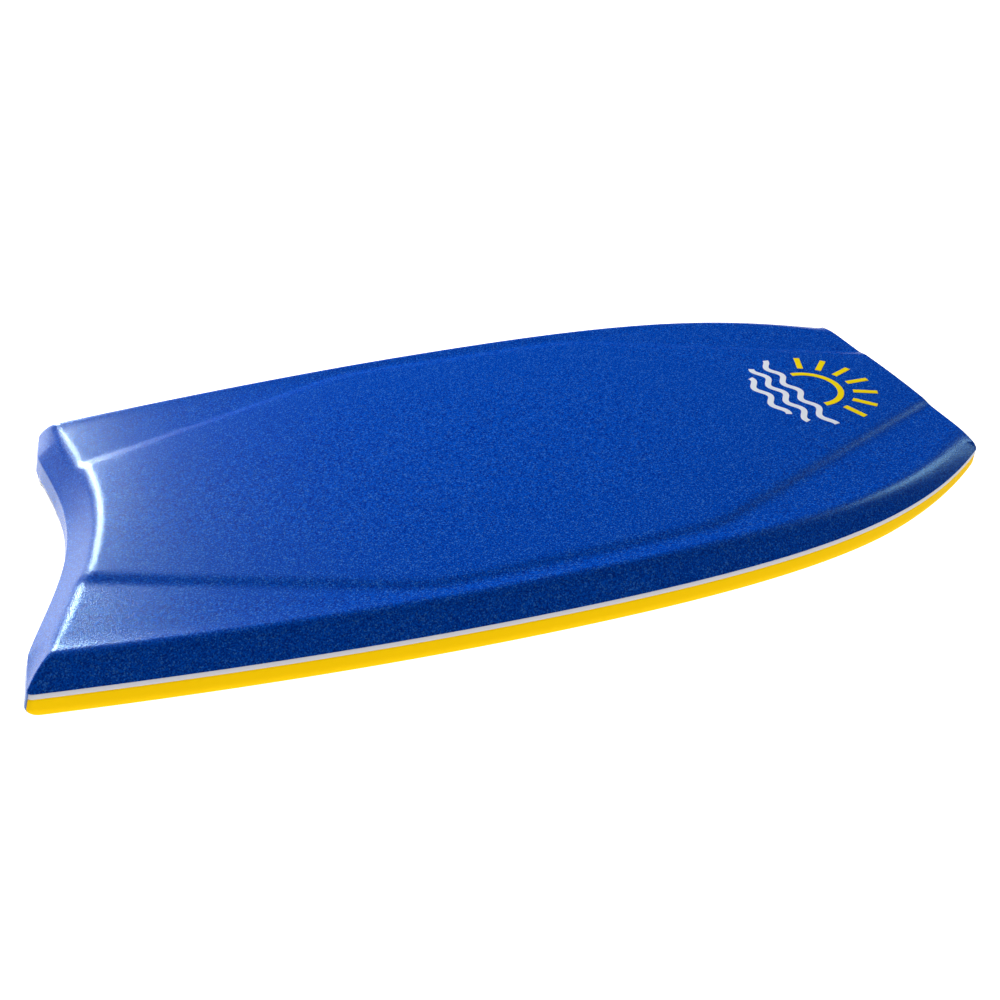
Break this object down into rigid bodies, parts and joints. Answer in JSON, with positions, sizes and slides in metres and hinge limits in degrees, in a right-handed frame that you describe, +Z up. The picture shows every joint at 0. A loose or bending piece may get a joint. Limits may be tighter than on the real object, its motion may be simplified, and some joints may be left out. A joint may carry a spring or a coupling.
{
  "type": "bodyboard",
  "caption": "Prone bodyboard with a crescent tail, squared nose, chined rails with a pinstripe and a raised deck panel; a glued foam laminate over a tubular stringer.",
  "frame": {"origin": "on the surface the board rests on, under the middle of its length and width", "axes": "+X from the tail to the nose, +Y to the rider's left, +Z up out of the deck"},
  "size_m": [1.0672, 0.558, 0.054],
  "materials": {
    "deck_foam": "satin",
    "rail_foam": "satin",
    "pinstripe_foam": "satin",
    "core_foam": "matte",
    "backing_foam": "matte",
    "plug_foam": "matte",
    "stringer_carbon": "gloss",
    "mesh_weave": "matte",
    "slick_film": "gloss",
    "mark_white": "satin",
    "mark_yellow": "satin"
  },
  "bodies": {
    "root": {"foam_core": "core_foam", "stringer_tube": "stringer_carbon", "stringer_plug_tail": "plug_foam", "stringer_plug_nose": "plug_foam", "deck_skin": "deck_foam", "tail_strip": "deck_foam", "nose_bumper": "deck_foam", "outer_rail_left": "rail_foam", "outer_rail_right": "rail_foam", "pinstripe_left": "pinstripe_foam", "pinstripe_right": "pinstripe_foam", "inner_rail_left": "core_foam", "inner_rail_right": "core_foam", "slick_backing": "backing_foam", "slick_mesh": "mesh_weave", "slick_skin": "slick_film", "deck_mark_white": "mark_white", "deck_mark_yellow": "mark_yellow"}
  },
  "joints": []
}
